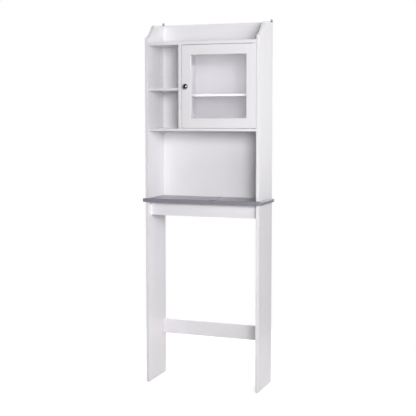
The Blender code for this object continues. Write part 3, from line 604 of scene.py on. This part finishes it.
def add_screw(name, place, head, head_height, shank, length, body, sunk=False, stands_for=()):
    """A cross-recess screw seated at local z 0, with a pan head, or a sunk one that ends flush.

    head and shank are radii, and length is the shank's, below the seat.
    """
    if sunk:
        profile = [(0, head_height), (head - FLAT_EASE, head_height), (head, head_height - FLAT_EASE)]
        profile.append((shank, head_height - (head - shank)))
    else:
        brow = head_height * BROW
        profile = [(0, head_height)]
        profile += arc(head - brow, head_height - brow, brow, start=80, end=0, steps=6)
        profile += [(head, PAN_EASE), (head - PAN_EASE, 0), (shank, 0)]
    tip = TIP * shank
    profile += [(shank, -length + 2 * tip), (shank - tip, -length), (0, -length)]
    screw = turned_piece(name, profile, [place], steps=40)
    turned = Matrix.Rotation(math.radians(RECESS_TURN), 4, "Z")
    top = place @ Matrix.Translation((0, 0, head_height)) @ turned
    carve(screw, cross_recess(RECESS_REACH * head, RECESS_WIDTH * head, RECESS_DEPTH * head, top))
    return fit(screw, body, zinc_steel, stands_for)


# ---- fittings: knob and its screw ---------------------------------------------------------------


def add_knob():
    """Mushroom knob: small foot, waisted neck and a domed head with a beaded rim."""
    low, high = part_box("door_knob")
    reach = high.y - low.y
    head = (high.x - low.x) / 2
    foot = 0.52 * head
    waist = 0.36 * head
    bead = 0.0012
    rim_below_top = 0.0078           # the head's top to its rim's middle
    underside_drop = 0.0036          # the rim to the neck
    neck_end = 0.0042                # heights above the door: where the neck starts to flare,
    foot_flare = 0.0026              # and how much lower the flare ends
    foot_ease = 0.0003
    rim_height = reach - rim_below_top
    dome = rim_height + bead * 0.7
    profile = [(0, reach)]
    for angle in quarter_turn(12)[1:]:
        profile.append(((head - bead) * math.sin(angle), dome + (reach - dome) * math.cos(angle)))
    profile += arc(head - bead, rim_height, bead, start=50, end=-90, steps=10)
    for angle in quarter_turn(8)[1:]:
        profile.append((waist + (head - bead - waist) * (1 - math.sin(angle)),
                        rim_height - bead - underside_drop * (1 - math.cos(angle))))
    for angle in quarter_turn(6):
        profile.append((waist + (foot - waist) * (1 - math.cos(angle)),
                        neck_end - foot_flare * math.sin(angle)))
    profile += [(foot, foot_ease), (foot - foot_ease, 0), (0, 0)]
    place = seat_in_middle(low, high, high.y, TOWARDS_FRONT)
    knob = turned_piece("knob", profile, [place], steps=72)
    fit(knob, DOOR, dark_chrome, ["door_knob"])


def add_knob_screw():
    low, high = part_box("knob_screw")
    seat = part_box("door_left_stile")[1].y + FIT
    add_screw("knob_fixing_screw", seat_in_middle(low, high, seat, TOWARDS_REAR),
              head=(high.x - low.x) / 2, head_height=high.y - seat, shank=0.002,
              length=seat - low.y, body=DOOR, stands_for=["knob_screw"])


add_knob()
add_knob_screw()

# ---- fittings: wall hangers ---------------------------------------------------------------------


def add_hanger_screw(side):
    low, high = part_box(side + "_hanger_screw")
    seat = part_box(side + "_wall_hanger")[0].y
    add_screw(side + "_hanger_fixing", seat_in_middle(low, high, seat, TOWARDS_REAR),
              head=(high.x - low.x) / 2, head_height=high.y - seat, shank=0.0015,
              length=seat - low.y, body=CARCASS, sunk=True, stands_for=[side + "_hanger_screw"])


for hanger_side in ("left", "right"):
    add_hanger_screw(hanger_side)

# ---- fittings: magnetic catch and its strike plate ----------------------------------------------


def add_catch():
    """Screwed housing with a magnet between two pole plates; the CAD block is its envelope."""
    low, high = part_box("magnetic_catch")
    middle = (low + high) / 2
    magnet_half_height = 0.0125
    magnet_half_width = 0.0022
    magnet_setback = 0.0003
    housing_wall = 0.002             # above and below the magnet
    housing_setback = 0.0006
    flange_width = 0.0028
    flange_inset = 0.002             # at the flange's front and rear
    pole_offset = 0.0031
    pole_half_width = 0.0006
    pole_inset = 0.001               # at the pole plates' ends
    screw_inset = 0.0042

    half_height = magnet_half_height + housing_wall
    housing = block("catch_housing", (low.x, low.y + housing_setback, middle.z - half_height),
                    (high.x, high.y, middle.z + half_height), rounding=0.0008)
    fit(housing, CARCASS, nylon, ["magnetic_catch"])
    flange = block("catch_flange", (low.x, low.y + flange_inset, low.z),
                   (low.x + flange_width, high.y - flange_inset, high.z), rounding=0.0009)
    fit(flange, CARCASS, nylon)
    magnet = block("catch_magnet",
                   (middle.x - magnet_half_width, low.y + magnet_setback, middle.z - magnet_half_height),
                   (middle.x + magnet_half_width, middle.y, middle.z + magnet_half_height),
                   rounding=0.0002, segments=1)
    fit(magnet, CARCASS, ferrite)
    half_height = magnet_half_height - pole_inset
    for label, offset in (("inner", -pole_offset), ("outer", pole_offset)):
        pole = block("catch_pole_" + label,
                     (middle.x + offset - pole_half_width, low.y, middle.z - half_height),
                     (middle.x + offset + pole_half_width, middle.y, middle.z + half_height),
                     rounding=0.00015, segments=1)
        fit(pole, CARCASS, zinc_steel)
    for label, height in (("lower", low.z + screw_inset), ("upper", high.z - screw_inset)):
        seat = Matrix.Translation((low.x + flange_width, middle.y, height)) @ TOWARDS_RIGHT
        add_screw("catch_screw_" + label, seat, head=0.0026, head_height=0.0016, shank=0.0012,
                  length=0.0026, body=CARCASS)


def add_strike():
    """Thin steel plate with rounded corners and a sunk screw."""
    low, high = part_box("strike_plate")
    screw_sunk = 0.0001              # how deep the screw's seat lies in the plate
    mesh = box_mesh(low, high)
    thickness = high.y - low.y
    corners = [edge for edge in mesh.edges
               if abs((edge.verts[0].co - edge.verts[1].co).y) > thickness / 2]
    round_edges(mesh, corners, radius=0.003, segments=6)
    plate = mesh_object("strike", mesh)
    fit(plate, DOOR, zinc_steel, ["strike_plate"])
    seat = seat_in_middle(low, high, high.y - screw_sunk, TOWARDS_REAR)
    add_screw("strike_screw", seat, head=0.0027, head_height=0.0002, shank=0.0012, length=0.006,
              body=DOOR, sunk=True)


add_catch()
add_strike()

# ---- fittings: cover caps and back panel nails --------------------------------------------------

CAP_RADIUS = 0.0085
CAP_HEIGHT = 0.0011
CAP_ROUNDING = 0.0007
CAP_FROM_SIDE = 0.024
CAP_FROM_EDGE = 0.040
NAILS_ACROSS = 7
NAILS_UP = 4
NAIL_HEAD = ((0, 0.00055), (0.0009, 0.0005), (0.0015, 0.0003), (0.0016, 0.0001), (0.0016, 0), (0, 0))


def add_cover_caps():
    """Press-in caps over the cam locks that hold the cabinet's boards to the sides."""
    profile = [(0, CAP_HEIGHT)]
    profile += arc(CAP_RADIUS - CAP_ROUNDING, CAP_HEIGHT - CAP_ROUNDING, CAP_ROUNDING,
                   start=90, end=0, steps=5)
    profile += [(CAP_RADIUS, 0), (0, 0)]
    bottom_low, bottom_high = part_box("cabinet_bottom")
    gallery_low, gallery_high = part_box("gallery_board")
    columns = [bottom_low.x + CAP_FROM_SIDE, bottom_high.x - CAP_FROM_SIDE]
    rows = [bottom_low.y + CAP_FROM_EDGE, bottom_high.y - CAP_FROM_EDGE]
    under = [Matrix.Translation((x, y, bottom_low.z)) @ DOWNWARDS for x in columns for y in rows]
    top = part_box("top_panel")[1].z
    above = [Matrix.Translation((x, y, top)) for x in columns for y in rows]
    middle = (gallery_low.z + gallery_high.z) / 2
    behind = [Matrix.Translation((x, gallery_high.y, middle)) @ TOWARDS_REAR for x in columns]
    for name, places in (("bottom_cover_caps", under), ("top_cover_caps", above),
                         ("gallery_cover_caps", behind)):
        fit(turned_piece(name, profile, places, steps=40), CARCASS, nylon)


def evenly_between(start, end, count):
    """The middles of count equal stretches."""
    return [start + (end - start) * (step + 0.5) / count for step in range(count)]


def add_back_nails():
    """Wire nails through the back panel into the cabinet bottom and the divider."""
    bottom_low, bottom_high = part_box("cabinet_bottom")
    divider_low, divider_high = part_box("centre_divider")
    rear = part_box("back_panel")[1].y
    row_height = (bottom_low.z + bottom_high.z) / 2
    column = (divider_low.x + divider_high.x) / 2
    places = [(x, rear, row_height) for x in evenly_between(bottom_low.x, bottom_high.x, NAILS_ACROSS)]
    places += [(column, rear, z) for z in evenly_between(divider_low.z, divider_high.z, NAILS_UP)]
    seats = [Matrix.Translation(place) @ TOWARDS_REAR for place in places]
    nails = turned_piece("back_panel_nails", NAIL_HEAD, seats, steps=20)
    fit(nails, CARCASS, zinc_steel)


add_cover_caps()
add_back_nails()

# ---- fittings: filled joints of the door frame --------------------------------------------------


def add_joint_fillers():
    """The door's foil runs over its joints, so a shallow dip is all that shows of each."""
    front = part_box("door_left_stile")[0].y
    groove = 0.0007                  # from the joint's middle to the filler's side
    dip = 0.00008
    depth = 0.0025
    joints = (
        ("left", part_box("door_left_stile")[1].x + FIT / 2),
        ("right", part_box("door_right_stile")[0].x - FIT / 2),
    )
    for side, joint in joints:
        for rail in ("top", "bottom"):
            low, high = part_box("door_%s_rail" % rail)
            name = "joint_filler_%s_%s" % (rail, side)
            filler = block(name, (joint - groove, front + dip, low.z + groove),
                           (joint + groove, front + depth, high.z - groove),
                           rounding=0.00006, segments=1)
            box_low = (low.x, front, low.z)
            material = white_foil("white_foil_" + name, box_low, high, raw_inside=False)
            fit(filler, DOOR, material)


add_joint_fillers()

# ---- stage --------------------------------------------------------------------------------------

FLOOR_RADIUS = 1.2
FLOOR_SIDES = 96
FLOOR_DROP = 0.0005              # below the rack's feet
FLOOR_LIGHT = (0.80, 0.80, 0.80)
FLOOR_DARK = (0.79, 0.79, 0.79)
FLOOR_GLOW = 0.36


def make_stage():
    """A pale floor whose glow shows but does not light the legs."""
    bpy.ops.mesh.primitive_circle_add(vertices=FLOOR_SIDES, radius=FLOOR_RADIUS, fill_type="NGON",
                                      location=(0, 0, -FLOOR_DROP))
    floor = bpy.context.object
    floor.name = "floor"
    shader = Shader("floor_white")
    path = shader.add("ShaderNodeLightPath")
    seen = shader.maths("MAXIMUM", path.outputs["Is Camera Ray"], path.outputs["Is Transmission Ray"])
    shader.surface(Base_Color=shader.blend(shader.noise(scale=2.0), FLOOR_DARK, FLOOR_LIGHT),
                   Roughness=0.9, Specular_IOR_Level=0.0, Emission_Color=(1, 1, 1, 1),
                   Emission_Strength=shader.product(seen, FLOOR_GLOW))
    floor.data.materials.append(shader.material)


make_stage()

# ---- lamps and world ----------------------------------------------------------------------------

LAMP_DISTANCE = 3.4              # softboxes from the rack's axis, in plan
SOFTBOXES = (
    # name, azimuth in degrees, height, diameter, watts
    ("key", 28, 1.70, 1.3, 77),
    ("right_soft", 40, 1.70, 1.8, 14),
    ("right_wide", 52, 1.80, 1.8, 19),
    ("right_fill", 80, 1.40, 2.2, 18),
    ("left_fill", -98, 1.70, 2.2, 55),
    ("rear_left", -160, 1.70, 2.2, 31),
    ("rear_right", 165, 1.70, 2.2, 31),
)
OVERHEAD_PLACE = (0, 1.9, 4.0)   # of a sun lamp: only its direction to the aim counts
OVERHEAD_AIM = (0, 0, 0.9)
OVERHEAD_STRENGTH = 1.5
OVERHEAD_SPREAD = 50             # degrees
WORLD_LIGHTING = 0.05            # strength of the white world as a light
WORLD_SEEN = 1.0                 # and as the camera sees it, through the glass too


def add_lamp(name, kind, place, aim, energy):
    data = bpy.data.lights.new(name, kind)
    data.energy = energy
    lamp = bpy.data.objects.new(name, data)
    bpy.context.scene.collection.objects.link(lamp)
    lamp.location = place
    lamp.rotation_euler = (Vector(aim) - Vector(place)).to_track_quat("-Z", "Y").to_euler()
    return data


def add_softbox(name, azimuth, height, diameter, watts):
    """A round softbox that faces the rack; azimuth 0 is straight in front, 90 on the right."""
    turn = math.radians(azimuth)
    place = (LAMP_DISTANCE * math.sin(turn), -LAMP_DISTANCE * math.cos(turn), height)
    data = add_lamp(name, "AREA", place, (0, 0, height), watts)
    data.shape = "DISK"
    data.size = diameter


def make_world():
    world = bpy.data.worlds.new("studio")
    bpy.context.scene.world = world
    world.use_nodes = True
    nodes = world.node_tree.nodes
    link = world.node_tree.links.new
    background = nodes["Background"]
    background.inputs["Color"].default_value = (1, 1, 1, 1)
    path = nodes.new("ShaderNodeLightPath")
    strength = nodes.new("ShaderNodeMapRange")
    strength.inputs["To Min"].default_value = WORLD_LIGHTING
    strength.inputs["To Max"].default_value = WORLD_SEEN
    seen = nodes.new("ShaderNodeMath")
    seen.operation = "MAXIMUM"
    link(path.outputs["Is Camera Ray"], seen.inputs[0])
    link(path.outputs["Is Transmission Ray"], seen.inputs[1])
    link(seen.outputs["Value"], strength.inputs["Value"])
    link(strength.outputs["Result"], background.inputs["Strength"])


for softbox in SOFTBOXES:
    add_softbox(*softbox)
overhead = add_lamp("overhead", "SUN", OVERHEAD_PLACE, OVERHEAD_AIM, OVERHEAD_STRENGTH)
overhead.angle = math.radians(OVERHEAD_SPREAD)
make_world()
bpy.context.scene.view_settings.view_transform = "Standard"
